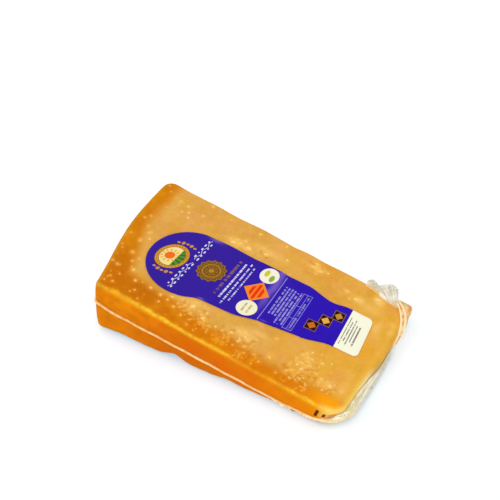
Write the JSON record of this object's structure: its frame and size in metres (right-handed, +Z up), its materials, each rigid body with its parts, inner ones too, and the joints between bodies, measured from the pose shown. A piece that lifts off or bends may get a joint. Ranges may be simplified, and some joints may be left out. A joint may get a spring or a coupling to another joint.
{
  "type": "vacuum-packed wedge of hard cheese",
  "caption": "Wedge of hard grating cheese, thick at its rind end, sealed in a clear shrink bag with a waisted blue and cream paper label on top.",
  "frame": {"origin": "on the resting plane, below the middle of the wedge's nominal length and width", "axes": "+X from the thick rind end to the thin end, +Y from the front face to the back face, +Z up"},
  "size_m": [0.2177, 0.1245, 0.0547],
  "materials": {
    "cheese_in_film": "pale amber cheese paste with a deep orange rind, under tight glossy clear film",
    "printed_paper": "blue-violet print with a cream end strip on coated paper, satin"
  },
  "bodies": {
    "root": {"sealed_bag": "cheese_in_film", "label": "printed_paper"}
  },
  "joints": []
}
